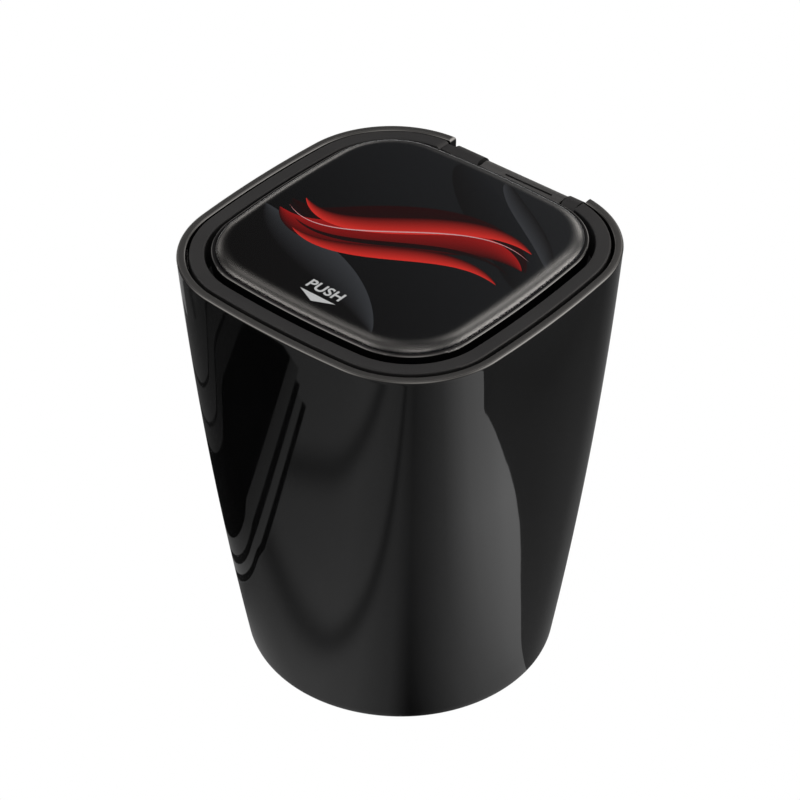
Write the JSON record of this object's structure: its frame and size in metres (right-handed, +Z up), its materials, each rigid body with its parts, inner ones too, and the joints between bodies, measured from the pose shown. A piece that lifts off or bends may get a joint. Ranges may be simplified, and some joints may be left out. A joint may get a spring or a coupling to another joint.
{
  "type": "car ashtray",
  "caption": "Tapered gloss black cup, round base and rounded-square mouth, with a collar, a sprung push-to-open lid under a clear cover and a lift-out metal ash liner",
  "frame": {"origin": "middle of the base, on the surface that the ashtray stands on", "axes": "+Z up; -Y to the front edge of the lid, where it is pushed; +Y to the hinge; +X to the right seen from the front"},
  "size_m": [0.08, 0.0799, 0.1046],
  "materials": {
    "gloss_black": "high-gloss black moulding",
    "satin_charcoal": "satin charcoal moulding",
    "black_moulding": "fine-textured black moulding",
    "pad_rubber": "matt black rubber",
    "liner_steel": "drawn stainless steel, lightly brushed",
    "bright_steel": "bright spring steel",
    "screw_steel": "zinc-plated steel",
    "lid_artwork": "printed sheet, dark with red shapes",
    "clear_cover": "clear polished acrylic with a rounded edge"
  },
  "bodies": {
    "cup": {"cup_body": "gloss_black", "base_pad": "pad_rubber", "collar": "satin_charcoal", "ash_liner": "liner_steel", "hinge_pin": "bright_steel", "hinge_spring": "bright_steel", "catch_box": "black_moulding", "catch_wire": "bright_steel", "catch_screws": "screw_steel"},
    "lid": {"lid_base": "black_moulding", "lid_bezel": "gloss_black", "lid_print": "lid_artwork", "lid_lens": "clear_cover", "lid_screws": "screw_steel"}
  },
  "joints": [
    {"name": "lid_hinge", "type": "hinge", "parent": "cup", "child": "lid", "pos_m": [0, 0.036, 0.0995], "axis": [-1, 0, 0], "range_deg": [-1.2, 95], "deforming": ["hinge_spring"]}
  ]
}
